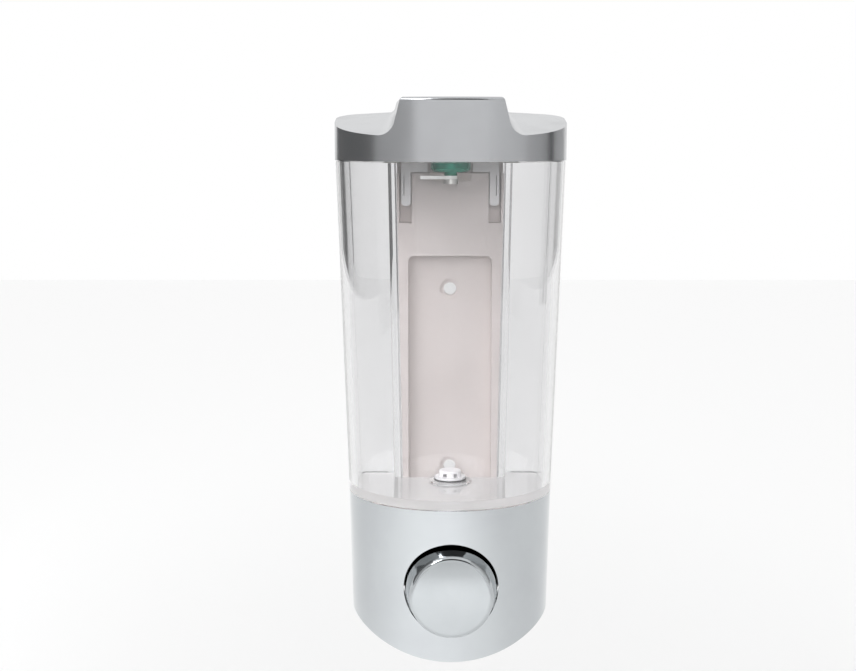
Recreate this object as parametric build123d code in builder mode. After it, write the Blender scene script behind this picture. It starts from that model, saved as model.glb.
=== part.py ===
from build123d import *
import math
import os

# Wall mounted soap dispenser: a wall plate that stays on the wall, a clear tank and chrome
# base that hook onto it, a lid with a cam lock, and a push-button piston pump.
# X is right, -Y is towards the user, Z is up. The origin is on the plate's back face,
# midway between its two screw holes. Millimetres.

# Heights of the whole dispenser
lid_bottom_z = 86.8
lid_height = 23.4
seam_z = -42.0
base_height = 58.6
pump_drop = 30.6

# The D-shaped plan: a half-round front on straight sides
arc_y = -17.4
rear_y = -1.0
rear_corner_r = 5.0
lid_r = 44.6
lid_overhang = 0.3
tank_taper = 4.5
base_taper = 1.5

# Tank
tank_wall = 3.0
tank_floor = 3.4
channel_lip_r = 0.6
channel_edge_r = 2.0
chamber_edge_r = 1.5
chamber_corner_r = 3.0
channel_y = -11.0
channel_top_half = 21.7
channel_seam_half = 19.3
floor_boss_r = 8.35
floor_boss_height = 0.7
keeper_half = 8.0
keeper_gap_below = 1.0
keeper_gap_above = 1.1

# Wall plate
plate_depth = 10.5
plate_tail = 38.0
plate_top_drop = 4.9
plate_back_drop = 0.5
plate_back_depth = 4.0
plate_skin = 2.5
side_gap = 0.5
screw_spacing = 72.0
screw_hole_r = 2.6
screw_seat_r = 3.95
screw_seat_depth = 0.8
recess_half = 16.5
recess_top_z = 49.6
recess_bottom_z = -49.0
recess_depth = 5.0
recess_corner_r = 2.5
slot_inner_x = 15.1
slot_outer_x = 20.0
slot_length = 19.4
slot_depth = 6.0
bead_height = 1.6
bead_depth = 0.35

# Hooks that carry the unit on the plate
lift_travel = 8.0
lug_reach = 2.4
lug_front_y = -6.5
lug_back_y = -3.0
lug_drop = 24.0
lug_height = 6.0
hook_gap = 0.4
rest_gap = 0.1

# Lid
lid_wall = 2.5
lid_seat_gap = 0.3
lid_corner_r = 8.0
ridge_foot_half = 22.1
ridge_draft = 13.7
lobe_height = 15.1
lobe_fall = 1.4
lobe_slope = 0.17
lobe_ref_y = -23.0
lobe_fillet_front_r = 7.5
lobe_fillet_back_r = 1.5
scoop_spare = 5.0
scoop_spare_above = 15.0
ridge_edge_r = 1.4
liner_rise = 1.5
liner_thick = 2.0
liner_gap = 0.3
leg_inner_x = 15.5
leg_width = 3.7
leg_front_y = -9.8
leg_back_y = -5.2
leg_length = 19.1
leg_bar_inner_x = 8.9
leg_bar_height = 6.0
leg_slit = 0.35
leg_rail = 0.9
leg_slit_length = 7.8
leg_slit_rise = 4.0
leg_tip_chamfer = 0.9
boss_r = 3.2
lid_boss_spots = [(31.0, -16.0), (-31.0, -16.0), (22.0, -42.0), (-22.0, -42.0)]

# Cam lock
lock_y = -23.5
barrel_r = 7.6
barrel_reach = 4.0
barrel_chamfer = 1.1
barrel_flange_reach = 1.4
barrel_flange_height = 2.4
flange_play = 0.3
barrel_shank_step = 1.6
barrel_tube_wall = 2.0
barrel_sink = 0.6
coin_slot_width = 1.6
coin_slot_depth = 2.0
running_gap = 0.05
clear_gap = 0.35
cam_drop = 5.5
cam_thick = 1.3
cam_screw_bite = 4.0
cam_reach = 11.6
cam_width = 5.0
cam_stem_r = 2.5

# Screws
screw_r = 1.5
lid_screw_bite = 6.0
base_screw_bite = 6.0
pump_screw_bite = 1.8
screw_head_r = 2.8
screw_head_height = 1.8
cross_width = 0.8
cross_depth = 0.7
screw_tip_gap = 0.3

# Base
base_wall = 2.2
base_corner_r = 6.0
base_side_bottom_drop = 11.2
base_side_inset = 0.3
back_opening_half = 25.5
back_opening_gap = 0.6
frame_tail = 4.0
frame_wall = 2.2
frame_top = 2.0
wing_half = 32.5
base_boss_x = 29.5
base_boss_r = 3.0
base_boss_length = 6.0
base_boss_drops = [10.0, 37.0]
base_seat_r = 3.1
base_seat_depth = 1.2
base_head_height = 1.0

# Outlet fitting between tank and pump
inlet_y = -20.8
fitting_hub_r = 4.35
fitting_hub_height = 2.4
fitting_flange_r = 6.0
fitting_flange_height = 0.9
fitting_edge_r = 0.5
gasket_r = 6.3
gasket_thick = 0.6
shank_r = 4.95
spigot_r = 4.0
spigot_reach = 10.0
passage_r = 2.4
window_width = 1.8
window_height = 1.4
nut_height = 3.0
nut_flats_half = 6.5

# Pump
bore_r = 9.0
cylinder_wall = 2.0
cylinder_setback = 4.5
cylinder_end = 2.5
inlet_tube_r = 6.5
seat_thick = 2.5
seat_hole_r = 1.8
ball_r = 2.5
ball_chamber_r = 3.4
ball_chamber_height = 6.0
ball_travel = 1.5
cage_slot_width = 1.6
cage_slot_length = 5.4
ear_half = 17.5
ear_half_height = 4.0
ear_screw_x = 14.5
cap_wall = 1.95
cap_thick = 3.0
cap_skirt = 6.0
rod_r = 3.5
piston_setback = 8.0
piston_length = 4.0
piston_gap = 0.5
seal_length = 2.0
groove_depth = 1.1
piston_pin_r = 2.0
pin_length = 2.5

# Outlet
outlet_y = -23.5
outlet_tube_r = 6.5
outlet_tube_length = 20.4
outlet_port_r = 2.5
outlet_chamber_r = 4.05
outlet_chamber_length = 7.4
valve_r = 3.5
valve_thick = 1.2
valve_nose_r = 2.1
valve_nose_height = 1.3
valve_gap = 0.3
nozzle_thread_length = 2.0
nozzle_reach = 5.5
nozzle_bore_r = 2.5
nozzle_tip_r = 3.2
nozzle_flange_r = 5.6
nozzle_flange_height = 1.5
nozzle_opening_r = 6.6
outlet_wire_r = 0.25
outlet_coil_r = 3.05
outlet_coils = 4

# Button
button_root_r = 17.5
button_taper = 2.1
button_edge_r = 1.6
button_stand = 8.1
button_crown = 0.5
button_cone_length = 12.8
button_rim_length = 4.0
button_wall = 1.8
button_hole_gap = 0.4
collar_wall = 2.0
collar_overlap = 3.0
press_travel = 8.0
push_disc_r = 12.0
push_disc_thick = 2.0
spring_wire_r = 0.55
spring_coil_r = 6.6
spring_coils = 6

# Values worked out from the ones above
lid_top_z = lid_bottom_z + lid_height
base_bottom_z = seam_z - base_height
pump_z = seam_z - pump_drop
tank_top_r = lid_r - lid_overhang
seam_r = tank_top_r - tank_taper
base_bottom_r = seam_r - base_taper
tank_slope = (tank_top_r - seam_r) / (lid_bottom_z - seam_z)
base_slope = (seam_r - base_bottom_r) / (seam_z - base_bottom_z)
channel_slope = (channel_top_half - channel_seam_half) / (lid_bottom_z - seam_z)
floor_z = seam_z + tank_floor
base_front_y = arc_y - seam_r
base_side_x = base_bottom_r - base_side_inset
arch_r = (base_side_x**2 + base_side_bottom_drop**2) / (2 * base_side_bottom_drop)

plate_bottom_z = seam_z - plate_tail
plate_top_z = lid_bottom_z - plate_top_drop
plate_back_top_z = lid_bottom_z - plate_back_drop
slot_floor_z = plate_top_z - slot_length
lug_bottom_z = seam_z - lug_drop
back_opening_bottom_z = plate_bottom_z - lift_travel - back_opening_gap
frame_bottom_z = plate_bottom_z - frame_tail
pocket_half = channel_seam_half
pocket_front_y = channel_y - frame_wall
wing_back_y = rear_y - base_wall
wing_front_y = wing_back_y - frame_wall
wall_under_head = base_wall - base_seat_depth

lid_rim_z = lid_bottom_z + lid_seat_gap
lobe_foot_z = lid_bottom_z + lobe_height
lobe_rim_z = lobe_foot_z - lobe_fall
ridge_lean = math.tan(math.radians(ridge_draft))
scoop_front_y = arc_y - lid_r - scoop_spare
scoop_back_y = scoop_spare
scoop_top_z = lid_top_z + scoop_spare_above
scoop_outer_x = lid_r + scoop_spare
liner_z = lid_bottom_z + liner_rise
liner_top_z = liner_z + liner_thick
leg_tip_z = liner_z - leg_length
leg_bar_bottom_z = liner_z - leg_bar_height
leg_slit_bottom_z = leg_tip_z + leg_slit_rise
leg_slit_top_z = leg_slit_bottom_z + leg_slit_length
barrel_bottom_z = lid_bottom_z - barrel_reach
cam_top_z = lid_bottom_z - cam_drop
keeper_low_z = cam_top_z - cam_thick - keeper_gap_below
keeper_high_z = cam_top_z + keeper_gap_above
barrel_flange_r = barrel_r + barrel_flange_reach
barrel_shank_r = barrel_r - barrel_shank_step
barrel_axis = [(0, lock_y)]

fitting_flange_z = floor_z + floor_boss_height + gasket_thick
nut_top_z = seam_z - frame_top
nut_bottom_z = nut_top_z - nut_height
spigot_bottom_z = seam_z - spigot_reach
seat_bottom_z = spigot_bottom_z - seat_thick
ball_floor_z = seat_bottom_z - ball_chamber_height
ball_rest_z = ball_floor_z + ball_r + rest_gap
inlet_axis = [(0, inlet_y)]

button_face_r = button_root_r - button_taper
button_face_y = base_front_y - button_stand
button_root_y = button_face_y + button_cone_length
button_back_y = button_root_y + button_rim_length
collar_back_y = button_back_y + collar_overlap
face_inner_y = button_face_y + button_wall
disc_back_y = face_inner_y + push_disc_thick
cylinder_r = bore_r + cylinder_wall
cap_r = cylinder_r + running_gap + cap_wall
piston_r = bore_r - piston_gap
seal_inner_r = piston_r - groove_depth
cylinder_front_y = button_back_y + cylinder_setback
cylinder_back_y = pocket_front_y
ear_front_y = cylinder_back_y - cylinder_end
cap_front_y = cylinder_front_y - cap_thick
piston_face_y = cylinder_front_y + piston_setback
piston_front_y = piston_face_y - piston_length
pump_axis = Axis((0, 0, pump_z), (0, 1, 0))

outlet_tube_bottom_z = pump_z - outlet_tube_length
outlet_seat_z = outlet_tube_bottom_z + outlet_chamber_length
nozzle_top_z = outlet_tube_bottom_z + nozzle_thread_length
nozzle_tip_z = outlet_tube_bottom_z - nozzle_reach
outlet_axis = [(0, outlet_y)]

pilot_r = screw_r + running_gap
screw_spots = [(0, -screw_spacing / 2), (0, screw_spacing / 2)]
base_boss_zs = [seam_z - drop for drop in base_boss_drops]
base_screw_spots = [(side * base_boss_x, z) for side in (-1, 1) for z in base_boss_zs]
pump_screw_spots = [(-ear_screw_x, pump_z), (ear_screw_x, pump_z)]

os.makedirs("parts", exist_ok=True)


def write(piece, name):
    """Labels a finished piece and writes its file."""
    piece.part.label = name
    export_step(piece.part, f"parts/{name}.step")


def tank_radius(z):
    """The tank's outer radius at a height."""
    return seam_r + (z - seam_z) * tank_slope


def base_radius(z):
    """The base's outer radius at a height."""
    return seam_r + (z - seam_z) * base_slope


def channel_half(z):
    """Half the width of the channel in the tank's back at a height."""
    return channel_seam_half + (z - seam_z) * channel_slope


def d_outline(radius, back_y, corner_r):
    """A half-round front, straight sides and a back with round corners."""
    with BuildLine() as outline:
        FilletPolyline(
            (-radius, arc_y), (-radius, back_y), (radius, back_y), (radius, arc_y),
            radius=corner_r,
        )
        ThreePointArc((radius, arc_y), (0, arc_y - radius), (-radius, arc_y))
    make_face(outline.edges())


def c_outline(radius, back_y, half, front_y, radii):
    """The D outline with a channel of a given half-width let into its back."""
    corners = [
        (-radius, arc_y), (-radius, back_y), (-half, back_y), (-half, front_y),
        (half, front_y), (half, back_y), (radius, back_y), (radius, arc_y),
    ]
    with BuildLine() as outline:
        FilletPolyline(*corners, radius=radii + radii[::-1])
        ThreePointArc((radius, arc_y), (0, arc_y - radius), (-radius, arc_y))
    make_face(outline.edges())


def turn_upright(y, profile):
    """Turns a profile of (radius, z) points about the upright line at x = 0 and this y."""
    with BuildSketch(Plane.YZ) as section:
        with BuildLine():
            Polyline(*[(y + radius, z) for radius, z in profile], close=True)
        make_face()
    revolve(section.sketch, axis=Axis((0, y, 0), (0, 0, 1)))


def turn_level(profile):
    """Turns a profile of (radius, y) points about the pump's axis."""
    with BuildSketch(Plane.YZ) as section:
        with BuildLine():
            Polyline(*[(y, pump_z + radius) for radius, y in profile], close=True)
        make_face()
    revolve(section.sketch, axis=pump_axis)


def block(x_span, y_span, z_span, mode=Mode.ADD):
    """A box between pairs of limits."""
    middle = [(low + high) / 2 for low, high in (x_span, y_span, z_span)]
    sizes = [abs(high - low) for low, high in (x_span, y_span, z_span)]
    with Locations(tuple(middle)):
        Box(*sizes, mode=mode)


def drill(plane, spots, radius, depth, mode=Mode.SUBTRACT):
    """Round holes, or pegs, from a plane along its normal."""
    with BuildSketch(plane) as rounds:
        with Locations(*spots):
            Circle(radius)
    extrude(rounds.sketch, amount=depth, mode=mode)


def plane_up(z):
    """A level plane that faces up, for work along +Z."""
    return Plane.XY.offset(z)


def plane_front(y):
    """An upright plane that faces the user: local x is X, local y is Z."""
    return Plane.XZ.offset(-y)


def coil(start, direction, length, turns, coil_r, wire_r):
    """A spring of round wire that stands between two flat faces this far apart."""
    middle = Vector(*start) + Vector(*direction) * wire_r
    rise = length - 2 * wire_r
    with BuildLine() as path:
        Helix(rise / turns, rise, coil_r, center=middle, direction=direction)
    with BuildSketch(Plane(origin=path.line @ 0, z_dir=path.line % 0)) as wire:
        Circle(wire_r)
    sweep(wire.sketch, path=path.line)


def pan_screw(plane, length, head_height=screw_head_height):
    """A pan head screw: its head stands on the plane and its shank runs back from it."""
    drill(plane, [(0, 0)], screw_head_r, head_height, Mode.ADD)
    drill(plane, [(0, 0)], screw_r, -length, Mode.ADD)
    with BuildSketch(plane.offset(head_height)) as cross:
        Rectangle(2 * screw_r, cross_width)
        Rectangle(cross_width, 2 * screw_r)
    extrude(cross.sketch, amount=-cross_depth, mode=Mode.SUBTRACT)


def lid_solid(inset):
    """The lid's outer form, or the same form a wall's thickness inside it."""
    foot_z = lobe_foot_z - inset
    rim_z = lobe_rim_z - inset
    foot = ridge_foot_half - inset / math.cos(math.radians(ridge_draft)) + inset * ridge_lean
    head = foot - (scoop_top_z - foot_z) * ridge_lean
    ends = [(scoop_front_y, lobe_fillet_front_r), (scoop_back_y, lobe_fillet_back_r)]
    with BuildPart() as solid:
        with BuildSketch(plane_up(lid_rim_z)):
            d_outline(lid_r - inset, rear_y - inset, lid_corner_r - inset)
        extrude(amount=lid_top_z - inset - lid_rim_z)
        for side in (-1, 1):
            for end_y, fillet_r in ends:
                rise = lobe_slope * (end_y - lobe_ref_y)
                with BuildSketch(Plane(origin=(0, end_y, rise), x_dir=(1, 0, 0), z_dir=(0, -1, 0))):
                    with BuildLine():
                        FilletPolyline(
                            (side * head, scoop_top_z), (side * foot, foot_z),
                            (side * scoop_outer_x, rim_z), radius=fillet_r + inset,
                        )
                        Polyline(
                            (side * scoop_outer_x, rim_z), (side * scoop_outer_x, scoop_top_z),
                            (side * head, scoop_top_z),
                        )
                    make_face()
            loft(ruled=True, mode=Mode.SUBTRACT)
    return solid.part


def base_solid(inset):
    """The base's outer form with its arched underside, or that form a wall inside it."""
    with BuildPart() as solid:
        for z in (seam_z, base_bottom_z):
            with BuildSketch(plane_up(z)):
                d_outline(base_radius(z) - inset, rear_y - inset, base_corner_r - inset)
        loft(ruled=True)
        centre_z = base_bottom_z + inset + (arch_r - inset)
        with BuildSketch(Plane.XZ):
            with Locations((0, centre_z)):
                Circle(arch_r - inset)
            with Locations((0, centre_z)):
                Rectangle(2 * arch_r, arch_r, align=(Align.CENTER, Align.MIN))
        extrude(amount=arch_r, both=True, mode=Mode.INTERSECT)
    return solid.part


# Wall plate: a moulded plate with a recessed panel, two screw holes with seats, two
# open-topped slots for the lid's legs and two L-shaped hooks that carry the unit
with BuildPart() as wall_plate:
    for z in (plate_bottom_z, plate_top_z):
        with BuildSketch(plane_up(z)):
            half = channel_half(z) - side_gap
            with Locations((0, -plate_depth / 2)):
                Rectangle(2 * half, plate_depth)
    loft(ruled=True)
    back_half = channel_half(plate_top_z) - side_gap
    block((-back_half, back_half), (-plate_back_depth, 0), (plate_top_z, plate_back_top_z))
    block(
        (-slot_inner_x, slot_inner_x), (-plate_depth - bead_depth, -plate_depth),
        (plate_top_z - bead_height, plate_top_z),
    )
    with BuildSketch(plane_front(-plate_depth)):
        with Locations((0, (recess_top_z + recess_bottom_z) / 2)):
            RectangleRounded(
                2 * recess_half, recess_top_z - recess_bottom_z, recess_corner_r
            )
    extrude(amount=-recess_depth, mode=Mode.SUBTRACT)
    for side in (-1, 1):
        block(
            (side * slot_inner_x, side * slot_outer_x),
            (-plate_depth, slot_depth - plate_depth), (slot_floor_z, plate_top_z),
            Mode.SUBTRACT,
        )
        hook_x = (side * (channel_seam_half - lug_reach - hook_gap), side * channel_top_half)
        lug_top_z = lug_bottom_z + lug_height
        block(
            hook_x, (lug_front_y - hook_gap, lug_back_y + hook_gap),
            (lug_bottom_z - rest_gap, lug_top_z + lift_travel + hook_gap), Mode.SUBTRACT,
        )
        block(
            hook_x, (-plate_depth, lug_back_y + hook_gap),
            (lug_bottom_z + lift_travel - hook_gap, lug_top_z + lift_travel + hook_gap),
            Mode.SUBTRACT,
        )
    hollow_half = recess_half - plate_skin
    recess_floor_y = recess_depth - plate_depth
    hollow_spans = [
        (plate_bottom_z + plate_skin, recess_bottom_z - plate_skin, -plate_depth),
        (recess_bottom_z + plate_skin, recess_top_z - plate_skin, recess_floor_y),
        (recess_top_z + plate_skin, plate_top_z - plate_skin, -plate_depth),
    ]
    for low_z, high_z, front_y in hollow_spans:
        block(
            (-hollow_half, hollow_half), (front_y + plate_skin, 0), (low_z, high_z),
            Mode.SUBTRACT,
        )
    drill(plane_front(0), screw_spots, screw_seat_r + plate_skin, -recess_floor_y, Mode.ADD)
    drill(plane_front(0), screw_spots, screw_hole_r, -recess_floor_y)
    drill(plane_front(recess_floor_y), screw_spots, screw_seat_r, -screw_seat_depth)
write(wall_plate, "wall_plate")

# Reservoir: a clear, tapered tank with a channel in its back that the wall plate fills
with BuildPart() as chamber:
    for z in (floor_z, lid_bottom_z):
        with BuildSketch(plane_up(z)):
            c_outline(
                tank_radius(z) - tank_wall, rear_y - tank_wall,
                channel_half(z) + tank_wall, channel_y - tank_wall,
                [chamber_corner_r, chamber_edge_r, channel_edge_r],
            )
    loft(ruled=True)

with BuildPart() as reservoir:
    for z in (seam_z, lid_bottom_z):
        with BuildSketch(plane_up(z)):
            c_outline(
                tank_radius(z), rear_y, channel_half(z), channel_y,
                [rear_corner_r, channel_lip_r, channel_lip_r],
            )
    loft(ruled=True)
    add(chamber.part, mode=Mode.SUBTRACT)
    drill(plane_up(floor_z), inlet_axis, floor_boss_r, floor_boss_height, Mode.ADD)
    drill(plane_up(seam_z), inlet_axis, shank_r + running_gap, 2 * tank_floor)
    block(
        (-keeper_half, keeper_half), (channel_y - 2 * tank_wall, channel_y + tank_wall),
        (keeper_low_z, keeper_high_z), Mode.SUBTRACT,
    )
write(reservoir, "reservoir")

# Inlet fitting: a hollow screw through the tank's floor, with side windows under its cap
with BuildPart() as inlet_fitting:
    flange_top_z = fitting_flange_z + fitting_flange_height
    hub_top_z = flange_top_z + fitting_hub_height
    turn_upright(inlet_y, [
        (0, spigot_bottom_z), (spigot_r, spigot_bottom_z), (spigot_r, nut_bottom_z),
        (shank_r, nut_bottom_z), (shank_r, fitting_flange_z),
        (fitting_flange_r, fitting_flange_z), (fitting_flange_r, flange_top_z),
        (fitting_hub_r, flange_top_z), (fitting_hub_r, hub_top_z), (0, hub_top_z),
    ])
    fillet(faces().sort_by(Axis.Z)[-1].edges(), fitting_edge_r)
    drill(plane_up(spigot_bottom_z), inlet_axis, passage_r, flange_top_z - spigot_bottom_z)
    with BuildSketch(plane_up(flange_top_z)):
        with Locations((0, inlet_y)):
            with PolarLocations(0, 3):
                Rectangle(3 * fitting_hub_r, window_width)
    extrude(amount=window_height, mode=Mode.SUBTRACT)
write(inlet_fitting, "inlet_fitting")

# Gasket: a soft ring between the fitting's flange and the boss on the tank's floor
with BuildPart() as outlet_gasket:
    turn_upright(inlet_y, [
        (shank_r + running_gap, fitting_flange_z - gasket_thick),
        (gasket_r, fitting_flange_z - gasket_thick), (gasket_r, fitting_flange_z),
        (shank_r + running_gap, fitting_flange_z),
    ])
write(outlet_gasket, "outlet_gasket")

# Nut: clamps the base frame's top and the tank's floor against the fitting's flange
with BuildPart() as inlet_nut:
    with BuildSketch(plane_up(nut_bottom_z)):
        with Locations((0, inlet_y)):
            RegularPolygon(nut_flats_half, 6, major_radius=False)
            Circle(shank_r + running_gap, mode=Mode.SUBTRACT)
    extrude(amount=nut_height)
write(inlet_nut, "inlet_nut")

# Lid shell: a thin cover with a raised centre ridge between two lobes that slope up
# towards the wall, with screw bosses and the lock's guide tube inside
lid_outer = lid_solid(0)
lid_inner = lid_solid(lid_wall)
with BuildPart() as lid_fixings:
    drill(plane_up(liner_top_z), lid_boss_spots, boss_r, lid_top_z, Mode.ADD)
    tube_bottom_z = liner_top_z + barrel_flange_height + 2 * flange_play
    drill(
        plane_up(tube_bottom_z), barrel_axis,
        barrel_shank_r + running_gap + barrel_tube_wall, lid_top_z, Mode.ADD,
    )
    add(lid_outer, mode=Mode.INTERSECT)

with BuildPart() as lid_shell:
    add(lid_outer)
    top_face = faces().sort_by(Axis.Z)[-1]
    fillet(top_face.edges(), ridge_edge_r)
    add(lid_inner, mode=Mode.SUBTRACT)
    add(lid_fixings.part)
    drill(
        plane_up(lid_rim_z), barrel_axis, barrel_shank_r + running_gap,
        lid_top_z - lid_rim_z,
    )
    drill(plane_up(liner_top_z), lid_boss_spots, pilot_r, lid_screw_bite)
write(lid_shell, "lid_shell")

# Lid liner: a white panel that closes the lid from below, with two slit legs that snap
# into the wall plate's slots
with BuildPart() as lid_liner:
    liner_inset = lid_wall + liner_gap
    with BuildSketch(plane_up(liner_z)):
        d_outline(lid_r - liner_inset, rear_y - liner_inset, lid_corner_r - liner_inset)
    extrude(amount=liner_thick)
    drill(plane_up(liner_z), barrel_axis, barrel_r + clear_gap, liner_thick)
    drill(plane_up(liner_z), lid_boss_spots, pilot_r, liner_thick)
    for side in (-1, 1):
        leg_outer_x = leg_inner_x + leg_width
        block(
            (side * leg_bar_inner_x, side * leg_outer_x), (leg_front_y, leg_back_y),
            (leg_bar_bottom_z, liner_z),
        )
        with BuildSketch(plane_front(leg_back_y)) as leg:
            with Locations((side * (leg_inner_x + leg_width / 2), (leg_tip_z + liner_z) / 2)):
                Rectangle(leg_width, liner_z - leg_tip_z)
            chamfer(leg.vertices().group_by(Axis.Y)[0], leg_tip_chamfer)
        extrude(amount=leg_back_y - leg_front_y)
        slit_outer_x = leg_outer_x - leg_rail
        block(
            (side * slit_outer_x, side * (slit_outer_x - leg_slit)), (leg_front_y, leg_back_y),
            (leg_slit_bottom_z, leg_slit_top_z), Mode.SUBTRACT,
        )
        block(
            (side * slit_outer_x, side * leg_inner_x), (leg_front_y, leg_front_y + leg_slit),
            (leg_slit_bottom_z, leg_slit_bottom_z + leg_slit), Mode.SUBTRACT,
        )
write(lid_liner, "lid_liner")

# Lid screws: hold the liner to the shell's bosses from below
for index, (x, y) in enumerate(lid_boss_spots, start=1):
    with BuildPart() as lid_screw:
        pan_screw(Plane(origin=(x, y, liner_z), z_dir=(0, 0, -1)), liner_thick + lid_screw_bite)
    write(lid_screw, f"lid_screw_{index}")

# Lock barrel: a green turned plug with a coin slot, held between the liner and the tube
with BuildPart() as lock_barrel:
    flange_bottom_z = liner_top_z + flange_play
    flange_top = flange_bottom_z + barrel_flange_height
    barrel_top_z = lid_top_z - barrel_sink
    turn_upright(lock_y, [
        (0, cam_top_z), (cam_stem_r, cam_top_z), (cam_stem_r, barrel_bottom_z),
        (barrel_r - barrel_chamfer, barrel_bottom_z),
        (barrel_r, barrel_bottom_z + barrel_chamfer), (barrel_r, flange_bottom_z),
        (barrel_flange_r, flange_bottom_z), (barrel_flange_r, flange_top),
        (barrel_shank_r, flange_top), (barrel_shank_r, barrel_top_z), (0, barrel_top_z),
    ])
    block(
        (-barrel_shank_r, barrel_shank_r),
        (lock_y - coin_slot_width / 2, lock_y + coin_slot_width / 2),
        (barrel_top_z - coin_slot_depth, barrel_top_z), Mode.SUBTRACT,
    )
    drill(plane_up(cam_top_z), barrel_axis, pilot_r, cam_screw_bite)
write(lock_barrel, "lock_barrel")

# Lock cam: a white finger under the barrel; turned to the wall it enters the keeper slot
with BuildPart() as lock_cam:
    with BuildSketch(plane_up(cam_top_z - cam_thick)):
        with Locations(*barrel_axis):
            Circle(cam_width / 2)
            Rectangle(cam_reach, cam_width, align=(Align.MAX, Align.CENTER))
            Circle(pilot_r, mode=Mode.SUBTRACT)
    extrude(amount=cam_thick)
write(lock_cam, "lock_cam")

# Cam screw: holds the cam to the barrel from below
with BuildPart() as lock_cam_screw:
    pan_screw(
        Plane(origin=(0, lock_y, cam_top_z - cam_thick), z_dir=(0, 0, -1)),
        cam_thick + cam_screw_bite,
    )
write(lock_cam_screw, "lock_cam_screw")

# Base shell: the chrome cover round the pump, with the button's collar in its front,
# the nozzle's opening in its arched underside and an open back
base_outer = base_solid(0)
base_inner = base_solid(base_wall)
hole_r = button_root_r + button_hole_gap
with BuildPart() as collar:
    with BuildSketch(plane_front(collar_back_y)):
        with Locations((0, pump_z)):
            Circle(hole_r + collar_wall)
    extrude(amount=button_root_r)
    add(base_outer, mode=Mode.INTERSECT)

with BuildPart() as base_shell:
    add(base_outer)
    add(base_inner, mode=Mode.SUBTRACT)
    add(collar.part)
    with BuildSketch(plane_front(collar_back_y)):
        with Locations((0, pump_z)):
            Circle(hole_r)
    extrude(amount=button_root_r, mode=Mode.SUBTRACT)
    block(
        (-back_opening_half, back_opening_half), (rear_y - 2 * base_wall, 0),
        (back_opening_bottom_z, seam_z), Mode.SUBTRACT,
    )
    drill(
        plane_up(base_bottom_z - base_wall), outlet_axis, nozzle_opening_r, 3 * base_wall
    )
    drill(plane_front(rear_y), base_screw_spots, pilot_r, base_wall)
    drill(plane_front(rear_y), base_screw_spots, base_seat_r, base_seat_depth)
write(base_shell, "base_shell")

# Base frame: the white chassis behind the pump; a pocket for the wall plate, a top that
# the tank stands on, screw bosses and the two lugs that hang on the plate's hooks
with BuildPart() as base_frame:
    block(
        (-pocket_half - frame_wall, pocket_half + frame_wall), (pocket_front_y, channel_y),
        (frame_bottom_z, seam_z),
    )
    for side in (-1, 1):
        block(
            (side * pocket_half, side * (pocket_half + frame_wall)),
            (pocket_front_y, wing_back_y), (frame_bottom_z, seam_z),
        )
        block(
            (side * pocket_half, side * wing_half), (wing_front_y, wing_back_y),
            (frame_bottom_z, seam_z),
        )
        block(
            (side * pocket_half, side * (pocket_half - lug_reach)),
            (lug_front_y, lug_back_y), (lug_bottom_z, lug_bottom_z + lug_height),
        )
    with BuildSketch(plane_up(nut_top_z)):
        c_outline(
            seam_r - base_wall - clear_gap, wing_back_y, pocket_half, channel_y,
            [base_corner_r - base_wall, 0, 0],
        )
    extrude(amount=frame_top)
    drill(plane_up(nut_top_z), inlet_axis, shank_r + running_gap, frame_top)
    drill(plane_front(wing_front_y), base_screw_spots, base_boss_r, base_boss_length, Mode.ADD)
    drill(plane_front(wing_back_y), base_screw_spots, pilot_r, base_screw_bite)
    drill(plane_front(pocket_front_y), pump_screw_spots, pilot_r, -pump_screw_bite)
write(base_frame, "base_frame")

# Base screws: hold the shell's back lips to the frame's bosses, their heads sunk
for index, (x, z) in enumerate(base_screw_spots, start=1):
    with BuildPart() as base_screw:
        seat_y = rear_y - base_seat_depth
        pan_screw(
            Plane(origin=(x, seat_y, z), z_dir=(0, 1, 0)),
            wall_under_head + base_screw_bite - screw_tip_gap, base_head_height,
        )
    write(base_screw, f"base_screw_{index}")

# Pump body: a level cylinder with ears at its back, an inlet tube with the ball's cage
# on top and an outlet tube with the valve's chamber below
with BuildPart() as pump_body:
    turn_level([
        (0, cylinder_front_y), (cylinder_r, cylinder_front_y),
        (cylinder_r, cylinder_back_y), (0, cylinder_back_y),
    ])
    block(
        (-ear_half, ear_half), (ear_front_y, cylinder_back_y),
        (pump_z - ear_half_height, pump_z + ear_half_height),
    )
    inlet_tube_top_z = nut_bottom_z - clear_gap
    drill(plane_up(pump_z), inlet_axis, inlet_tube_r, inlet_tube_top_z - pump_z, Mode.ADD)
    drill(
        plane_up(outlet_tube_bottom_z), outlet_axis, outlet_tube_r,
        pump_z - outlet_tube_bottom_z, Mode.ADD,
    )
    with BuildSketch(plane_front(ear_front_y)):
        with Locations((0, pump_z)):
            Circle(bore_r)
    extrude(amount=ear_front_y - cylinder_front_y, mode=Mode.SUBTRACT)
    drill(
        plane_up(inlet_tube_top_z), inlet_axis, spigot_r + running_gap,
        seat_bottom_z - inlet_tube_top_z,
    )
    drill(plane_up(seat_bottom_z), inlet_axis, ball_chamber_r, ball_floor_z - seat_bottom_z)
    with BuildSketch(plane_up(ball_floor_z)):
        with Locations(*inlet_axis):
            Rectangle(cage_slot_length, cage_slot_width)
            Rectangle(cage_slot_width, cage_slot_length)
    extrude(amount=pump_z - ball_floor_z, mode=Mode.SUBTRACT)
    drill(plane_up(pump_z), outlet_axis, outlet_port_r, outlet_tube_bottom_z - pump_z)
    drill(
        plane_up(outlet_tube_bottom_z), outlet_axis, outlet_chamber_r,
        outlet_seat_z - outlet_tube_bottom_z,
    )
    drill(plane_front(ear_front_y), pump_screw_spots, pilot_r, -cylinder_end)
write(pump_body, "pump_body")

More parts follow.
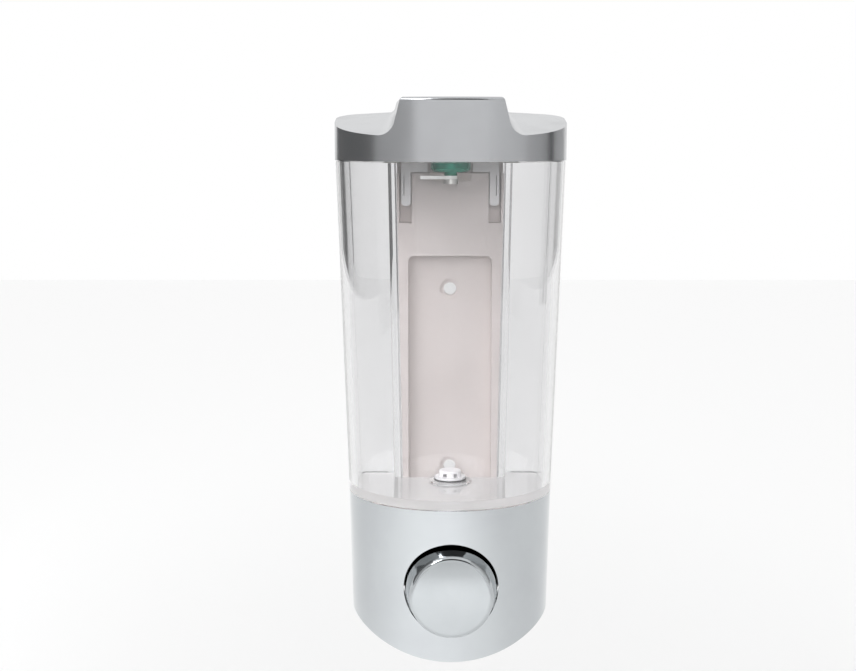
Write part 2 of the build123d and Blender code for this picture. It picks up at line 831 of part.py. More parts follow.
# Pump screws: hold the body's ears to the frame
for index, (x, z) in enumerate(pump_screw_spots, start=1):
    with BuildPart() as pump_screw:
        pan_screw(
            Plane(origin=(x, ear_front_y, z), z_dir=(0, -1, 0)),
            cylinder_end + pump_screw_bite - screw_tip_gap,
        )
    write(pump_screw, f"pump_screw_{index}")

# End cap: screws over the cylinder's front end and guides the plunger's rod
with BuildPart() as pump_end_cap:
    turn_level([
        (rod_r + running_gap, cap_front_y), (cap_r, cap_front_y),
        (cap_r, cylinder_front_y + cap_skirt),
        (cylinder_r + running_gap, cylinder_front_y + cap_skirt),
        (cylinder_r + running_gap, cylinder_front_y),
        (rod_r + running_gap, cylinder_front_y),
    ])
write(pump_end_cap, "pump_end_cap")

# Inlet seat: a ring with a coned mouth that the ball closes as the piston moves in
with BuildPart() as inlet_seat:
    turn_upright(inlet_y, [
        (seat_hole_r, spigot_bottom_z), (spigot_r, spigot_bottom_z),
        (spigot_r, seat_bottom_z), (seat_hole_r, seat_bottom_z),
    ])
write(inlet_seat, "inlet_seat")

# Inlet ball: drops on its cage to let soap in and rises to its seat to stop it
with BuildPart() as inlet_ball:
    with Locations((0, inlet_y, ball_rest_z)):
        Sphere(ball_r)
write(inlet_ball, "inlet_ball")

# Outlet valve: a poppet that its spring holds under the port
with BuildPart() as outlet_valve:
    valve_top_z = outlet_seat_z - valve_gap
    turn_upright(outlet_y, [
        (0, valve_top_z - valve_thick), (valve_r, valve_top_z - valve_thick),
        (valve_r, valve_top_z), (valve_nose_r, valve_top_z),
        (valve_nose_r / 2, valve_top_z + valve_nose_height), (0, valve_top_z + valve_nose_height),
    ])
write(outlet_valve, "outlet_valve")

# Outlet spring: stands on the nozzle's top end and pushes the poppet up
with BuildPart() as outlet_spring:
    coil(
        (0, outlet_y, nozzle_top_z), (0, 0, 1),
        valve_top_z - valve_thick - nozzle_top_z, outlet_coils, outlet_coil_r, outlet_wire_r,
    )
write(outlet_spring, "outlet_spring")

# Nozzle: a tube that screws into the outlet and shows in the base's underside
with BuildPart() as nozzle:
    flange_bottom_z = outlet_tube_bottom_z - nozzle_flange_height
    turn_upright(outlet_y, [
        (nozzle_bore_r, nozzle_tip_z), (nozzle_tip_r, nozzle_tip_z),
        (nozzle_tip_r, flange_bottom_z), (nozzle_flange_r, flange_bottom_z),
        (nozzle_flange_r, outlet_tube_bottom_z),
        (outlet_chamber_r - running_gap, outlet_tube_bottom_z),
        (outlet_chamber_r - running_gap, nozzle_top_z), (nozzle_bore_r, nozzle_top_z),
    ])
write(nozzle, "nozzle")

# Button: a chrome cap with a slightly domed face and a coned side that runs in the collar
with BuildPart() as button:
    crown_at_half = button_crown * (1 - (1 / 2) ** 2)
    with BuildSketch(Plane.YZ) as section:
        with BuildLine():
            ThreePointArc(
                (button_face_y - button_crown, pump_z),
                (button_face_y - crown_at_half, pump_z + button_face_r / 2),
                (button_face_y, pump_z + button_face_r),
            )
            Polyline(
                (button_face_y, pump_z + button_face_r), (button_root_y, pump_z + button_root_r),
                (button_back_y, pump_z + button_root_r),
                (button_back_y, pump_z + button_root_r - button_wall),
                (button_root_y, pump_z + button_root_r - button_wall),
                (face_inner_y, pump_z + button_face_r - button_wall),
                (face_inner_y, pump_z), (button_face_y - button_crown, pump_z),
            )
        make_face()
        face_corner = Vector(button_face_y, pump_z + button_face_r)
        fillet(section.vertices().sort_by_distance(face_corner)[0], button_edge_r)
    revolve(axis=pump_axis)
write(button, "button")

# Plunger: a disc behind the button's face, a rod through the end cap and the piston's pin
with BuildPart() as button_plunger:
    turn_level([
        (0, face_inner_y), (push_disc_r, face_inner_y), (push_disc_r, disc_back_y),
        (rod_r, disc_back_y), (rod_r, piston_front_y), (piston_pin_r, piston_front_y),
        (piston_pin_r, piston_front_y + pin_length), (0, piston_front_y + pin_length),
    ])
write(button_plunger, "button_plunger")

# Piston: a disc with a groove for its seal
seal_front_y = piston_front_y + (piston_length - seal_length) / 2
seal_back_y = seal_front_y + seal_length
with BuildPart() as piston:
    turn_level([
        (0, piston_face_y), (piston_r, piston_face_y), (piston_r, seal_back_y),
        (seal_inner_r - running_gap, seal_back_y), (seal_inner_r - running_gap, seal_front_y),
        (piston_r, seal_front_y), (piston_r, piston_front_y),
        (piston_pin_r + running_gap, piston_front_y),
        (piston_pin_r + running_gap, piston_front_y + pin_length + running_gap),
        (0, piston_front_y + pin_length + running_gap),
    ])
write(piston, "piston")

# Piston seal: a ring that runs in the pump's bore
with BuildPart() as piston_seal:
    turn_level([
        (seal_inner_r, seal_front_y), (bore_r - running_gap, seal_front_y),
        (bore_r - running_gap, seal_back_y), (seal_inner_r, seal_back_y),
    ])
write(piston_seal, "piston_seal")

# Button spring: returns the button, between the end cap and the plunger's disc
with BuildPart() as button_spring:
    coil(
        (0, cap_front_y, pump_z), (0, -1, 0), cap_front_y - disc_back_y,
        spring_coils, spring_coil_r, spring_wire_r,
    )
write(button_spring, "button_spring")
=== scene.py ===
import bmesh
import bpy
import math
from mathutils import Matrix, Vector


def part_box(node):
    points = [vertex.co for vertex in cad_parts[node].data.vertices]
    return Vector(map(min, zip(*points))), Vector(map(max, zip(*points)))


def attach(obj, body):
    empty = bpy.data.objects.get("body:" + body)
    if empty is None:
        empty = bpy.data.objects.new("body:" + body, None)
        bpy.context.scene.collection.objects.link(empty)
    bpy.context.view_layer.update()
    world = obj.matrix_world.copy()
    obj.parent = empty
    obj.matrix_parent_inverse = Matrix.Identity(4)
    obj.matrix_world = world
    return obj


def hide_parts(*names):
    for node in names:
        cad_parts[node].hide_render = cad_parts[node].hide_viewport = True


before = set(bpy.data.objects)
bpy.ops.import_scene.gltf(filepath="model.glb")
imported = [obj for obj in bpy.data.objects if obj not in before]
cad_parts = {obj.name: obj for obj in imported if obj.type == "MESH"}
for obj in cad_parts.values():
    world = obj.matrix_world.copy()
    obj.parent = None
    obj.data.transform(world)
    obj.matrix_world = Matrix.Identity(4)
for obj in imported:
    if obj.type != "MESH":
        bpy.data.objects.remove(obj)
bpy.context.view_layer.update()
bpy.ops.object.select_all(action="DESELECT")

# ---------------------------------------------------------------------------------------
# The tank: clear injection moulded plastic, tapered, with a half-round front and a channel
# in its back that slides over the wall plate. One moulding, polished, 3 mm thick.
# ---------------------------------------------------------------------------------------
tank_low, tank_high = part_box("reservoir")
arc_y = -0.0174
rear_y = tank_high.y
tank_top_r = tank_high.x
tank_seam_r = 0.0398
tank_wall = 0.003
tank_rear_corner = 0.005
channel_front_y = -0.011
channel_top_half = 0.0217
channel_seam_half = 0.0193
channel_lip = 0.0008
tank_floor = 0.0034
floor_boss_r = 0.00835
floor_boss_height = 0.0007
fitting_hole_r = 0.005
keeper_half = 0.008
keeper_low_z = 0.0790
keeper_high_z = 0.0824
spare = 0.001


def pick(kind, test):
    """Selects the vertices, edges or faces of the piece in edit mode that pass a test."""
    bpy.ops.mesh.select_mode(type=kind)
    bpy.ops.mesh.select_all(action="DESELECT")
    shape = bmesh.from_edit_mesh(bpy.context.object.data)
    shape.normal_update()
    for part in {"VERT": shape.verts, "EDGE": shape.edges, "FACE": shape.faces}[kind]:
        if test(part):
            part.select_set(True)
    shape.select_flush_mode()
    bmesh.update_edit_mesh(bpy.context.object.data)


def middle(part):
    """The middle of an edge or a face."""
    corners = [corner.co for corner in part.verts]
    return sum(corners, Vector()) / len(corners)


def start_piece(name):
    """Names the primitive just added, settles its place in its mesh and opens it to edit."""
    piece = bpy.context.object
    piece.name = name
    bpy.ops.object.transform_apply(location=True, rotation=True, scale=True)
    bpy.ops.object.mode_set(mode="EDIT")
    return piece


def half_round_block(name, low_z, high_z, low_r, high_r, corner_r):
    """A closed block with a half-round front, straight sides and round rear corners."""
    bpy.ops.mesh.primitive_cylinder_add(
        vertices=256, radius=high_r, depth=high_z - low_z,
        location=(0, arc_y, (low_z + high_z) / 2), end_fill_type="NGON",
    )
    block = start_piece(name)
    pick("VERT", lambda v: v.co.z < (low_z + high_z) / 2)
    bpy.ops.transform.resize(
        value=(low_r / high_r, low_r / high_r, 1), center_override=(0, arc_y, low_z)
    )
    bpy.ops.mesh.select_all(action="SELECT")
    bpy.ops.mesh.bisect(
        plane_co=(0, arc_y, 0), plane_no=(0, 1, 0), use_fill=True, clear_outer=True
    )
    pick("FACE", lambda f: abs(middle(f).y - arc_y) < 1e-5 and abs(f.normal.y) > 0.99)
    bpy.ops.mesh.extrude_region_move(
        TRANSFORM_OT_translate={"value": (0, rear_y - arc_y, 0)}
    )
    pick("EDGE", lambda e: (
        abs(middle(e).y - rear_y) < 1e-5 and abs(middle(e).x) > 0.9 * low_r
        and abs(e.verts[0].co.z - e.verts[1].co.z) > 0.01
    ))
    bpy.ops.mesh.bevel(offset=corner_r, segments=12, affect="EDGES")
    bpy.ops.mesh.select_all(action="SELECT")
    bpy.ops.mesh.normals_make_consistent(inside=False)
    bpy.ops.object.mode_set(mode="OBJECT")
    return block


def apply_modifier(piece, kind, **settings):
    """Adds a modifier to a piece with these settings and applies it."""
    bpy.context.view_layer.objects.active = piece
    modifier = piece.modifiers.new(kind.lower(), kind)
    for name, value in settings.items():
        setattr(modifier, name, value)
    bpy.ops.object.modifier_apply(modifier=modifier.name)


def cut(piece, tool, operation="DIFFERENCE"):
    """Cuts a piece with a tool piece, and removes the tool."""
    apply_modifier(piece, "BOOLEAN", operation=operation, object=tool, solver="EXACT")
    bpy.data.objects.remove(tool)


def box_tool(low, high):
    """A plain block between two corners, to cut with."""
    size = [b - a for a, b in zip(low, high)]
    place = [(a + b) / 2 for a, b in zip(low, high)]
    bpy.ops.mesh.primitive_cube_add(size=1, location=place, scale=size)
    tool = start_piece("tool")
    bpy.ops.object.mode_set(mode="OBJECT")
    return tool


def round_tool(radius, start, end):
    """A plain round bar between two points, to cut with."""
    along = Vector(end) - Vector(start)
    bpy.ops.mesh.primitive_cylinder_add(
        vertices=128, radius=radius, depth=along.length,
        location=(Vector(start) + Vector(end)) / 2,
        rotation=along.to_track_quat("Z", "Y").to_euler(),
    )
    tool = start_piece("tool")
    bpy.ops.object.mode_set(mode="OBJECT")
    return tool


def finish_piece(piece, smooth_angle=30):
    """Closes seams, turns faces outwards and smooths all but the sharp edges."""
    bpy.ops.object.select_all(action="DESELECT")
    bpy.context.view_layer.objects.active = piece
    piece.select_set(True)
    bpy.ops.object.mode_set(mode="EDIT")
    bpy.ops.mesh.select_all(action="SELECT")
    bpy.ops.mesh.remove_doubles(threshold=1e-6)
    bpy.ops.mesh.normals_make_consistent(inside=False)
    bpy.ops.object.mode_set(mode="OBJECT")
    bpy.ops.object.shade_smooth_by_angle(angle=math.radians(smooth_angle))
    piece.select_set(False)


tank = half_round_block(
    "clear_tank", tank_low.z, tank_high.z, tank_seam_r, tank_top_r, tank_rear_corner
)
channel_tool = box_tool(
    (-channel_top_half, channel_front_y, tank_low.z - spare),
    (channel_top_half, rear_y + 2 * spare, tank_high.z + spare),
)
bpy.context.view_layer.objects.active = channel_tool
bpy.ops.object.mode_set(mode="EDIT")
pick("VERT", lambda v: v.co.z < 0)
bpy.ops.transform.resize(
    value=(channel_seam_half / channel_top_half, 1, 1), center_override=(0, 0, 0)
)
pick("EDGE", lambda e: (
    abs(e.verts[0].co.z - e.verts[1].co.z) > 0.01 and middle(e).y < channel_front_y / 2
))
bpy.ops.mesh.bevel(offset=channel_lip, segments=4, affect="EDGES")
bpy.ops.object.mode_set(mode="OBJECT")
cut(tank, channel_tool)
bpy.context.view_layer.objects.active = tank
bpy.ops.object.mode_set(mode="EDIT")
pick("FACE", lambda f: f.normal.z > 0.99 and middle(f).z > tank_high.z - 1e-5)
bpy.ops.mesh.delete(type="ONLY_FACE")
bpy.ops.object.mode_set(mode="OBJECT")
apply_modifier(tank, "SOLIDIFY", thickness=tank_wall, offset=-1, use_even_offset=True)
tank_floor_z = tank_low.z + tank_floor
bpy.ops.object.mode_set(mode="EDIT")
pick("FACE", lambda f: f.normal.z > 0.99 and middle(f).z < tank_floor_z)
bpy.ops.transform.translate(value=(0, 0, tank_floor_z - tank_low.z - tank_wall))
bpy.ops.object.mode_set(mode="OBJECT")
inlet_y = sum(corner.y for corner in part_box("inlet_fitting")) / 2
cut(tank, round_tool(
    floor_boss_r, (0, inlet_y, tank_low.z + spare),
    (0, inlet_y, tank_floor_z + floor_boss_height),
), "UNION")
cut(tank, round_tool(
    fitting_hole_r, (0, inlet_y, tank_low.z - spare), (0, inlet_y, tank_floor_z + 2 * spare)
))
cut(tank, box_tool(
    (-keeper_half, channel_front_y - 1.5 * tank_wall, keeper_low_z),
    (keeper_half, channel_front_y + tank_wall / 2, keeper_high_z),
))
finish_piece(tank)


def new_material(name):
    """An empty material with its shader, and the tree's nodes and links."""
    material = bpy.data.materials.new(name)
    material.use_nodes = True
    tree = material.node_tree
    return material, tree.nodes["Principled BSDF"], tree


def add_node(tree, kind, **inputs):
    """Adds a node of this kind with values for its named inputs."""
    node = tree.nodes.new(kind)
    for name, value in inputs.items():
        node.inputs[name.replace("_", " ")].default_value = value
    return node


def polish_group():
    """Marks that handling leaves on a polished surface: soft smears and fine scratches."""
    group = bpy.data.node_groups.new("polish_marks", "ShaderNodeTree")
    for name, start in (("Smear Scale", 60.0), ("Scratch Scale", 900.0)):
        socket = group.interface.new_socket(name, in_out="INPUT", socket_type="NodeSocketFloat")
        socket.default_value = start
    group.interface.new_socket("Smear", in_out="OUTPUT", socket_type="NodeSocketFloat")
    group.interface.new_socket("Scratch", in_out="OUTPUT", socket_type="NodeSocketFloat")
    ends_in = group.nodes.new("NodeGroupInput")
    ends_out = group.nodes.new("NodeGroupOutput")
    place = group.nodes.new("ShaderNodeTexCoord")
    smear = add_node(group, "ShaderNodeTexNoise", Detail=5.0, Roughness=0.6)
    band = add_node(group, "ShaderNodeMapRange", From_Min=0.42, From_Max=0.75)
    stretch = group.nodes.new("ShaderNodeMapping")
    stretch.inputs["Scale"].default_value = (1, 1, 0.06)
    stretch.inputs["Rotation"].default_value = (0.3, 0.2, 0)
    scratch = add_node(group, "ShaderNodeTexNoise", Detail=2.0)
    line = add_node(group, "ShaderNodeMapRange", From_Min=0.62, From_Max=0.72)
    link = group.links.new
    link(place.outputs["Object"], smear.inputs["Vector"])
    link(ends_in.outputs["Smear Scale"], smear.inputs["Scale"])
    link(smear.outputs["Fac"], band.inputs["Value"])
    link(band.outputs["Result"], ends_out.inputs["Smear"])
    link(place.outputs["Object"], stretch.inputs["Vector"])
    link(stretch.outputs["Vector"], scratch.inputs["Vector"])
    link(ends_in.outputs["Scratch Scale"], scratch.inputs["Scale"])
    link(scratch.outputs["Fac"], line.inputs["Value"])
    link(line.outputs["Result"], ends_out.inputs["Scratch"])
    return group


polish = polish_group()


def place_group(tree, group, **inputs):
    """Places a shader group in a material with its own values."""
    node = tree.nodes.new("ShaderNodeGroup")
    node.node_tree = group
    for name, value in inputs.items():
        node.inputs[name.replace("_", " ")].default_value = value
    return node


def vary(tree, mask, low, high, target):
    """Feeds a socket with a value that runs from low to high as a mask rises."""
    span = add_node(tree, "ShaderNodeMapRange", To_Min=low, To_Max=high)
    tree.links.new(mask, span.inputs["Value"])
    tree.links.new(span.outputs["Result"], target)


def tint(tree, mask, low, high, target):
    """Feeds a colour socket with a colour that runs from low to high as a mask rises."""
    mix = tree.nodes.new("ShaderNodeMix")
    mix.data_type = "RGBA"
    mix.inputs["A"].default_value = (*low, 1)
    mix.inputs["B"].default_value = (*high, 1)
    tree.links.new(mask, mix.inputs["Factor"])
    tree.links.new(mix.outputs["Result"], target)


def raise_surface(tree, height, depth, shader):
    """Raises the surface by a height map of this depth in metres."""
    bump = add_node(tree, "ShaderNodeBump", Strength=1.0, Distance=depth)
    tree.links.new(height, bump.inputs["Height"])
    tree.links.new(bump.outputs["Normal"], shader.inputs["Normal"])


clear_plastic, shader, tree = new_material("clear_tank_plastic")
shader.inputs["Transmission Weight"].default_value = 1.0
shader.inputs["IOR"].default_value = 1.5
marks = place_group(tree, polish, Smear_Scale=35.0, Scratch_Scale=700.0)
tint(
    tree, marks.outputs["Smear"], (0.88, 0.88, 0.885), (0.855, 0.855, 0.86),
    shader.inputs["Base Color"],
)
vary(tree, marks.outputs["Scratch"], 0.01, 0.05, shader.inputs["Roughness"])
rays = tree.nodes.new("ShaderNodeLightPath")
open_glass = add_node(tree, "ShaderNodeBsdfTransparent", Color=(0.93, 0.93, 0.94, 1))
mix = tree.nodes.new("ShaderNodeMixShader")
tree.links.new(rays.outputs["Is Shadow Ray"], mix.inputs["Fac"])
tree.links.new(shader.outputs["BSDF"], mix.inputs[1])
tree.links.new(open_glass.outputs["BSDF"], mix.inputs[2])
tree.links.new(mix.outputs["Shader"], tree.nodes["Material Output"].inputs["Surface"])
tank.data.materials.append(clear_plastic)
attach(tank, "dispenser")
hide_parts("reservoir")

# ---------------------------------------------------------------------------------------
# The lid: satin chrome plated cover, moulded thin. A drafted ridge runs front to back over
# the lock, and a lobe on each side slopes up to the wall, blended into the ridge.
# ---------------------------------------------------------------------------------------
lid_low, lid_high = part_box("lid_shell")
lid_wall = 0.0025
lobe_slope = 0.17
lobe_ref_y = -0.023
lobe_foot_z = 0.1019
lobe_rim_drop = 0.0014
ridge_foot_half = 0.0221
ridge_draft = 13.7
ridge_lean = math.tan(math.radians(ridge_draft))
lock_hole_r = 0.00605
lobe_blend = 0.0059
lobe_narrowing = 0.25
ridge_edge = 0.0012
scoop_front_y = -0.067
scoop_back_y = 0.003
scoop_top_z = lid_high.z + 0.015
scoop_outer_x = lid_high.x + 0.003


def scoop_tool(side):
    """The space over one lobe: a drafted inner wall, a blended foot and a sloping floor."""
    floor_mid_z = (lobe_foot_z + scoop_top_z) / 2
    side_mid_x = (ridge_foot_half + scoop_outer_x) / 2
    tool = box_tool(
        (min(side * ridge_foot_half, side * scoop_outer_x), scoop_front_y, lobe_foot_z),
        (max(side * ridge_foot_half, side * scoop_outer_x), scoop_back_y, scoop_top_z),
    )
    bpy.ops.object.mode_set(mode="EDIT")
    pick("VERT", lambda v: abs(v.co.x) < side_mid_x and v.co.z > floor_mid_z)
    reach = (scoop_top_z - lobe_foot_z) * ridge_lean
    bpy.ops.transform.translate(value=(-side * reach, 0, 0))
    pick("VERT", lambda v: abs(v.co.x) > side_mid_x and v.co.z < floor_mid_z)
    bpy.ops.transform.translate(value=(0, 0, -lobe_rim_drop))
    pick("EDGE", lambda e: (
        abs(e.verts[0].co.y - e.verts[1].co.y) > 0.01
        and abs(middle(e).x) < side_mid_x and middle(e).z < floor_mid_z
    ))
    bpy.ops.mesh.bevel(offset=lobe_blend, segments=20, affect="EDGES")
    pick("VERT", lambda v: (
        v.co.y > lobe_ref_y and abs(v.co.x) < side_mid_x and v.co.z < floor_mid_z
    ))
    bpy.ops.transform.resize(
        value=(lobe_narrowing, 1, lobe_narrowing),
        center_override=(side * ridge_foot_half, scoop_back_y, lobe_foot_z),
    )
    for end_y in (scoop_front_y, scoop_back_y):
        pick("VERT", lambda v: abs(v.co.y - end_y) < 1e-4)
        bpy.ops.transform.translate(value=(0, 0, lobe_slope * (end_y - lobe_ref_y)))
    bpy.ops.object.mode_set(mode="OBJECT")
    return tool


lid = half_round_block(
    "lid_cover", lid_low.z, lid_high.z, lid_high.x, lid_high.x, 0.008
)
for side in (-1, 1):
    cut(lid, scoop_tool(side))
finish_piece(lid)
bpy.context.view_layer.objects.active = lid
bpy.ops.object.mode_set(mode="EDIT")
pick("EDGE", lambda e: (
    len(e.link_faces) == 2 and e.calc_face_angle(0) > math.radians(38)
    and middle(e).z > lid_high.z - 1e-5
))
bpy.ops.mesh.bevel(offset=ridge_edge, segments=6, affect="EDGES", clamp_overlap=False)
pick("FACE", lambda f: f.normal.z < -0.99 and middle(f).z < lid_low.z + 1e-4)
bpy.ops.mesh.delete(type="ONLY_FACE")
bpy.ops.object.mode_set(mode="OBJECT")
apply_modifier(lid, "SOLIDIFY", thickness=lid_wall, offset=-1)
lock_y = sum(corner.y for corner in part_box("lock_barrel")) / 2
cut(lid, round_tool(lock_hole_r, (0, lock_y, 0.1), (0, lock_y, 0.12)))
finish_piece(lid)

satin_chrome, shader, tree = new_material("satin_chrome_plate")
shader.inputs["Metallic"].default_value = 1.0
marks = place_group(tree, polish, Smear_Scale=45.0, Scratch_Scale=1200.0)
tint(
    tree, marks.outputs["Smear"], (0.50, 0.51, 0.525), (0.47, 0.475, 0.49),
    shader.inputs["Base Color"],
)
vary(tree, marks.outputs["Smear"], 0.2, 0.27, shader.inputs["Roughness"])
raise_surface(tree, marks.outputs["Scratch"], 0.000002, shader)
lid.data.materials.append(satin_chrome)
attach(lid, "lid")
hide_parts("lid_shell")

# ---------------------------------------------------------------------------------------
# The base: bright chrome plated cover round the pump, moulded thin, with an arched
# underside, a collar for the button in its front and an open back for the frame.
# ---------------------------------------------------------------------------------------


def dress(material, *names):
    """Gives the solids that keep their shape a finished material."""
    for name in names:
        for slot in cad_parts[name].material_slots:
            slot.material = material


bright_chrome, shader, tree = new_material("bright_chrome_plate")
shader.inputs["Metallic"].default_value = 1.0
marks = place_group(tree, polish, Smear_Scale=40.0, Scratch_Scale=1500.0)
tint(
    tree, marks.outputs["Smear"], (0.545, 0.57, 0.585), (0.51, 0.53, 0.55),
    shader.inputs["Base Color"],
)
vary(tree, marks.outputs["Smear"], 0.07, 0.14, shader.inputs["Roughness"])
raise_surface(tree, marks.outputs["Scratch"], 0.000001, shader)
dress(bright_chrome, "base_shell")

# ---------------------------------------------------------------------------------------
# The button: chrome plated cap with a domed face, a rounded edge and a coned side, hollow
# at the back, where the plunger's disc is fixed.
# ---------------------------------------------------------------------------------------
button_low, button_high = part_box("button")
pump_z = (button_low.z + button_high.z) / 2
root_r = button_high.x
face_r = 0.0154
cone_back_y = -0.0525
dome_height = 0.0005
face_edge_r = 0.0016
button_wall = 0.0018
face_y = button_low.y + dome_height
dome_rings = 7

bpy.ops.mesh.primitive_cylinder_add(
    vertices=192, radius=root_r, depth=button_high.y - cone_back_y,
    location=(0, (button_high.y + cone_back_y) / 2, pump_z), rotation=(math.pi / 2, 0, 0),
)
button = start_piece("button_cap")
pick("FACE", lambda f: f.normal.y < -0.99 and len(f.verts) > 8)
bpy.ops.mesh.extrude_region_move(
    TRANSFORM_OT_translate={"value": (0, face_y - cone_back_y, 0)}
)
bpy.ops.transform.resize(
    value=(face_r / root_r, 1, face_r / root_r), center_override=(0, face_y, pump_z)
)
pick("EDGE", lambda e: all(abs(v.co.y - face_y) < 1e-5 for v in e.verts))
bpy.ops.mesh.bevel(offset=face_edge_r, segments=10, affect="EDGES", clamp_overlap=False)
pick("FACE", lambda f: f.normal.y < -0.99 and len(f.verts) > 8)
flat_r = face_r - face_edge_r
for ring in range(1, dome_rings):
    ring_r = flat_r * (1 - ring / dome_rings)
    previous_r = flat_r * (1 - (ring - 1) / dome_rings)
    bpy.ops.mesh.inset(thickness=previous_r - ring_r)
    bpy.ops.transform.translate(
        value=(0, -dome_height * (previous_r**2 - ring_r**2) / flat_r**2, 0)
    )
pick("FACE", lambda f: f.normal.y > 0.99 and len(f.verts) > 8)
bpy.ops.mesh.delete(type="ONLY_FACE")
bpy.ops.object.mode_set(mode="OBJECT")
apply_modifier(button, "SOLIDIFY", thickness=button_wall, offset=-1)
finish_piece(button)

button_chrome, shader, tree = new_material("button_chrome_plate")
shader.inputs["Metallic"].default_value = 1.0
marks = place_group(tree, polish, Smear_Scale=80.0, Scratch_Scale=1500.0)
tint(
    tree, marks.outputs["Smear"], (0.50, 0.525, 0.54), (0.475, 0.50, 0.515),
    shader.inputs["Base Color"],
)
vary(tree, marks.outputs["Smear"], 0.05, 0.11, shader.inputs["Roughness"])
raise_surface(tree, marks.outputs["Scratch"], 0.000001, shader)
button.data.materials.append(button_chrome)
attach(button, "button")
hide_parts("button")

# ---------------------------------------------------------------------------------------
# The white and ivory mouldings: the wall plate, the liner with its legs, the cam, the
# frame, the outlet fitting and the pump. Matt ABS and acetal with a fine moulded grain.
# ---------------------------------------------------------------------------------------


def moulding_group():
    """A moulded plastic's skin: a fine grain in height, and slow patches of shade."""
    group = bpy.data.node_groups.new("moulded_skin", "ShaderNodeTree")
    for name, start in (("Grain Scale", 2500.0), ("Patch Scale", 25.0)):
        socket = group.interface.new_socket(name, in_out="INPUT", socket_type="NodeSocketFloat")
        socket.default_value = start
    group.interface.new_socket("Height", in_out="OUTPUT", socket_type="NodeSocketFloat")
    group.interface.new_socket("Patch", in_out="OUTPUT", socket_type="NodeSocketFloat")
    ends_in = group.nodes.new("NodeGroupInput")
    ends_out = group.nodes.new("NodeGroupOutput")
    place = group.nodes.new("ShaderNodeTexCoord")
    grain = add_node(group, "ShaderNodeTexVoronoi", Randomness=1.0)
    patch = add_node(group, "ShaderNodeTexNoise", Detail=4.0, Roughness=0.55)
    band = add_node(group, "ShaderNodeMapRange", From_Min=0.35, From_Max=0.7)
    link = group.links.new
    link(place.outputs["Object"], grain.inputs["Vector"])
    link(ends_in.outputs["Grain Scale"], grain.inputs["Scale"])
    link(grain.outputs["Distance"], ends_out.inputs["Height"])
    link(place.outputs["Object"], patch.inputs["Vector"])
    link(ends_in.outputs["Patch Scale"], patch.inputs["Scale"])
    link(patch.outputs["Fac"], band.inputs["Value"])
    link(band.outputs["Result"], ends_out.inputs["Patch"])
    return group


moulding = moulding_group()


def moulded(name, clean, worn, rough, *nodes):
    """A moulded plastic between two shades, on these solids."""
    material, shader, tree = new_material(name)
    skin = place_group(tree, moulding)
    tint(tree, skin.outputs["Patch"], clean, worn, shader.inputs["Base Color"])
    vary(tree, skin.outputs["Patch"], rough, rough + 0.12, shader.inputs["Roughness"])
    raise_surface(tree, skin.outputs["Height"], 0.00001, shader)
    dress(material, *nodes)


moulded("ivory_abs", (0.71, 0.65, 0.62), (0.67, 0.605, 0.575), 0.4, "wall_plate")
moulded(
    "white_liner_abs", (0.93, 0.92, 0.91), (0.88, 0.87, 0.86), 0.35,
    "lid_liner", "lock_cam",
)
moulded("white_frame_abs", (0.82, 0.81, 0.80), (0.75, 0.74, 0.73), 0.4, "base_frame")
moulded(
    "white_acetal", (0.86, 0.85, 0.86), (0.79, 0.78, 0.80), 0.3,
    "inlet_fitting", "inlet_nut", "nozzle",
)
moulded(
    "natural_acetal", (0.74, 0.73, 0.68), (0.66, 0.65, 0.60), 0.38,
    "pump_body", "pump_end_cap", "inlet_seat", "piston", "button_plunger", "outlet_valve",
)
moulded(
    "dark_rubber", (0.03, 0.03, 0.033), (0.05, 0.048, 0.05), 0.6,
    "outlet_gasket", "piston_seal",
)

# ---------------------------------------------------------------------------------------
# The lock barrel: anodised green, turned, with fine tool marks round it.
# ---------------------------------------------------------------------------------------
green_anodised, shader, tree = new_material("green_anodised")
shader.inputs["Metallic"].default_value = 0.5
marks = place_group(tree, polish, Smear_Scale=150.0, Scratch_Scale=1800.0)
tint(
    tree, marks.outputs["Smear"], (0.0, 0.20, 0.13), (0.002, 0.10, 0.07),
    shader.inputs["Base Color"],
)
vary(tree, marks.outputs["Smear"], 0.22, 0.36, shader.inputs["Roughness"])
raise_surface(tree, marks.outputs["Scratch"], 0.000003, shader)
dress(green_anodised, "lock_barrel")

# ---------------------------------------------------------------------------------------
# Steel: the screws, the springs and the inlet's ball, zinc plated or ground bright.
# ---------------------------------------------------------------------------------------


def steel(name, bright, dull, rough, *nodes):
    """A steel between two shades, on these solids."""
    material, shader, tree = new_material(name)
    shader.inputs["Metallic"].default_value = 1.0
    marks = place_group(tree, polish, Smear_Scale=300.0, Scratch_Scale=2500.0)
    tint(tree, marks.outputs["Smear"], bright, dull, shader.inputs["Base Color"])
    vary(tree, marks.outputs["Smear"], rough, rough + 0.15, shader.inputs["Roughness"])
    raise_surface(tree, marks.outputs["Scratch"], 0.000002, shader)
    dress(material, *nodes)


steel(
    "zinc_screws", (0.62, 0.62, 0.60), (0.48, 0.47, 0.44), 0.3, "lock_cam_screw",
    "lid_screw_1", "lid_screw_2", "lid_screw_3", "lid_screw_4", "base_screw_1",
    "base_screw_2", "base_screw_3", "base_screw_4", "pump_screw_1", "pump_screw_2",
)
steel(
    "spring_wire", (0.55, 0.55, 0.56), (0.42, 0.42, 0.43), 0.25,
    "button_spring", "outlet_spring",
)
steel("ground_ball", (0.72, 0.72, 0.74), (0.62, 0.62, 0.63), 0.08, "inlet_ball")

# ---------------------------------------------------------------------------------------
# The studio: a white floor well below the hanging dispenser and an even white surround,
# with dark cards beside the lid that only its satin plate mirrors.
# ---------------------------------------------------------------------------------------
world = bpy.data.worlds.new("white_surround")
bpy.context.scene.world = world
world.use_nodes = True
world.node_tree.nodes["Background"].inputs["Color"].default_value = (1, 1, 1, 1)
world.node_tree.nodes["Background"].inputs["Strength"].default_value = 1.0

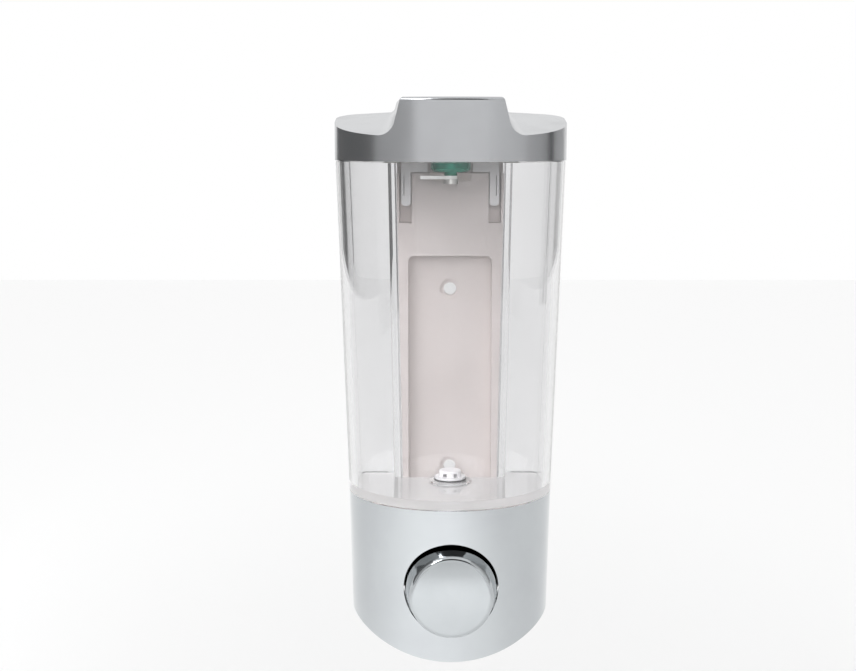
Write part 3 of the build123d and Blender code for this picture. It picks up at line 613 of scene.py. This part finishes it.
bpy.ops.mesh.primitive_plane_add(size=8, location=(0, 0, -0.35))
floor = start_piece("studio_floor")
bpy.ops.object.mode_set(mode="OBJECT")
floor_paint, shader, tree = new_material("floor_paint")
shader.inputs["Base Color"].default_value = (0.95, 0.95, 0.95, 1)
shader.inputs["Roughness"].default_value = 0.9
floor.data.materials.append(floor_paint)



def card(name, low, high, grey):
    """A thin grey card between two corners, which the plating mirrors unseen."""
    piece = box_tool(low, high)
    piece.name = name
    paint, shader, tree = new_material(name + "_paint")
    shader.inputs["Base Color"].default_value = (grey, grey, grey, 1)
    shader.inputs["Roughness"].default_value = 0.9
    piece.data.materials.append(paint)
    piece.visible_camera = False
    piece.visible_shadow = False


card("left_card", (-0.46, -0.12, -0.03), (-0.45, 0.8, 0.6), 0.17)
card("left_front_card", (-0.46, -0.65, -0.06), (-0.45, -0.12, 0.6), 0.5)
card("right_card", (0.5, -0.15, -0.03), (0.51, 0.8, 0.6), 0.5)
card("right_front_card", (0.5, -0.7, -0.06), (0.51, -0.15, 0.6), 0.62)
card("right_edge_card", (0.42, 0.11, -0.03), (0.43, 0.18, 0.6), 0.03)
card("front_card", (-1.2, -1.61, 0.6), (1.2, -1.6, 1.9), 0.04)
bpy.ops.object.light_add(type="AREA", location=(-0.7, -0.8, 0.9))
key = bpy.context.object
key.data.energy = 9
key.data.size = 0.6
key.rotation_euler = (Vector((0, 0, 0)) - key.location).to_track_quat("-Z", "Y").to_euler()

bpy.ops.object.light_add(type="AREA", location=(0, -1.3, 0.35))
front = bpy.context.object
front.data.energy = 4
front.visible_glossy = False
front.data.size = 0.5
front.rotation_euler = (Vector((0, 0, 0.06)) - front.location).to_track_quat("-Z", "Y").to_euler()

bpy.ops.object.camera_add(
    location=(-0.0087, -0.593, 0.0965), rotation=(math.radians(90 - 7.7), 0, 0)
)
camera = bpy.context.object
camera.data.lens = 62.24
camera.data.sensor_width = 36
camera.data.clip_start = 0.01
bpy.context.scene.camera = camera
bpy.context.scene.view_settings.view_transform = "Standard"
